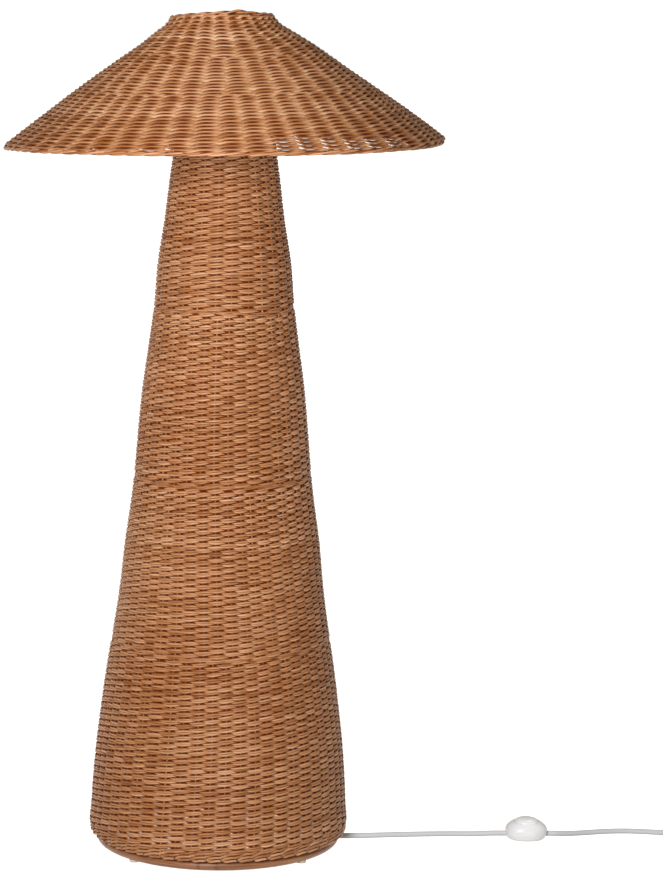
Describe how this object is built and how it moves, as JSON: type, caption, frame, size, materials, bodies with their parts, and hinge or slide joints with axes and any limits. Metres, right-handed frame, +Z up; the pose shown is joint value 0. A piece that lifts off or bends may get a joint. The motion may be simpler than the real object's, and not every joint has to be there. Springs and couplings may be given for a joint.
{
  "type": "rattan floor lamp",
  "caption": "Floor lamp with a tapering woven rattan body, a wide conical woven shade held on a lampholder, and a white lead with a foot switch, a coiled length and a plug.",
  "frame": {"origin": "on the floor, on the vertical axis of the body and the shade", "axes": "+Z up along the lamp's axis, front towards -Y, the lead leaves towards +X"},
  "size_m": [1.019, 0.561, 1.08],
  "materials": {
    "rattan": "satin, natural tan rattan",
    "rattan_pole": "satin, smooth rattan pole",
    "black_steel": "semi-matt black powder coat",
    "zinc": "zinc plated",
    "brass": "bright",
    "black_plastic": "matt",
    "white_plastic": "semi-gloss",
    "white_cord": "fine braided textile",
    "pale_plastic": "matt, slightly clear",
    "opal_globe": "opal"
  },
  "bodies": {
    "base": {"woven_body": "rattan", "body_top_border": "rattan", "body_foot_border": "rattan", "foot_hoop": "rattan_pole", "body_frame": "black_steel", "holder_bracket": "black_steel", "bracket_screw_left": "zinc", "bracket_screw_right": "zinc", "threaded_tube": "zinc", "tube_washer": "zinc", "tube_nut": "zinc", "plug_pin_left": "zinc", "plug_pin_right": "zinc", "screw_shell": "brass", "centre_contact": "brass", "holder_cap": "black_plastic", "holder_shell": "black_plastic", "holder_core": "black_plastic", "seat_ring": "black_plastic", "lead_tie_low": "black_plastic", "lead_tie_middle": "black_plastic", "lead_tie_high": "black_plastic", "coil_tie": "black_plastic", "cord_grommet": "white_plastic", "switch_base": "white_plastic", "switch_cover": "white_plastic", "plug_body": "white_plastic", "lead_inside": "white_cord", "lead_to_switch": "white_cord", "lead_to_coil": "white_cord", "lead_coil": "white_cord", "lead_to_plug": "white_cord", "glide_front_left": "pale_plastic", "glide_front_right": "pale_plastic", "glide_back_right": "pale_plastic", "glide_back_left": "pale_plastic"},
    "ring": {"shade_ring": "black_plastic"},
    "shade": {"woven_shade": "rattan", "shade_rim_border": "rattan", "shade_top_border": "rattan", "shade_carrier": "black_steel"},
    "bulb": {"bulb_tip": "zinc", "bulb_cap": "zinc", "bulb_collar": "white_plastic", "bulb_globe": "opal_globe"},
    "button": {"switch_button": "white_plastic"}
  },
  "joints": [
    {"name": "shade_lift", "type": "slide", "parent": "base", "child": "ring", "axis": [0, 0, 1], "range_m": [0, 0.25]},
    {"name": "shade_turn", "type": "hinge", "parent": "ring", "child": "shade", "pos_m": [0, 0, 0.953], "axis": [0, 0, 1], "continuous": true},
    {"name": "bulb_lift", "type": "slide", "parent": "base", "child": "bulb", "axis": [0, 0, 1], "range_m": [0, 0.2]},
    {"name": "switch_press", "type": "slide", "parent": "base", "child": "button", "axis": [0, 0, -1], "range_m": [0, 0.0025], "stiffness_N_per_m": 1200, "springref_m": -0.0005}
  ]
}
